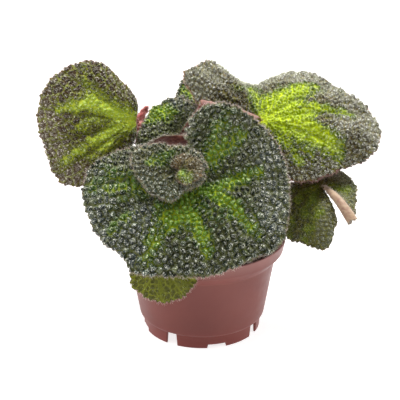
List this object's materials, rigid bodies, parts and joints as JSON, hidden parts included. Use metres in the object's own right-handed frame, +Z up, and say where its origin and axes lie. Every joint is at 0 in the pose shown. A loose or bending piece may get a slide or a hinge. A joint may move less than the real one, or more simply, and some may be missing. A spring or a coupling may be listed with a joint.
{
  "type": "potted begonia",
  "caption": "Begonia with large quilted dark green leaves with lime veins on hairy red stalks, growing in compost in a round tapered nursery pot.",
  "frame": {"origin": "middle of the whole object's footprint box, on the surface that the pot stands on; the pot's axis is 6.9 mm towards -X and 4.3 mm towards -Y from it", "axes": "+Z up; -Y is the front, the side that the picture shows; +X is the picture's right"},
  "size_m": [0.252, 0.1622, 0.1939],
  "materials": {
    "pot_plastic": "satin",
    "compost": "matte",
    "rhizome_skin": "matte",
    "sprout_hair": "matte",
    "leaf_quilted": "satin",
    "leaf_olive": "satin",
    "stalk_hair": "matte"
  },
  "bodies": {
    "root": {"pot": "pot_plastic", "soil": "compost", "rhizome": "rhizome_skin", "sprout": "sprout_hair", "leaf_front": "leaf_quilted", "stalk_front": "stalk_hair", "leaf_right": "leaf_quilted", "stalk_right": "stalk_hair", "leaf_left": "leaf_quilted", "stalk_left": "stalk_hair", "leaf_back_left": "leaf_quilted", "stalk_back_left": "stalk_hair", "leaf_top": "leaf_quilted", "stalk_top": "stalk_hair", "leaf_young": "leaf_quilted", "stalk_young": "stalk_hair", "leaf_low_right": "leaf_quilted", "stalk_low_right": "stalk_hair", "leaf_low_front": "leaf_olive", "stalk_low_front": "stalk_hair", "leaf_rear_right": "leaf_quilted", "stalk_rear_right": "stalk_hair", "leaf_rear_left": "leaf_quilted", "stalk_rear_left": "stalk_hair", "leaf_rear_middle": "leaf_quilted", "stalk_rear_middle": "stalk_hair"}
  },
  "joints": []
}
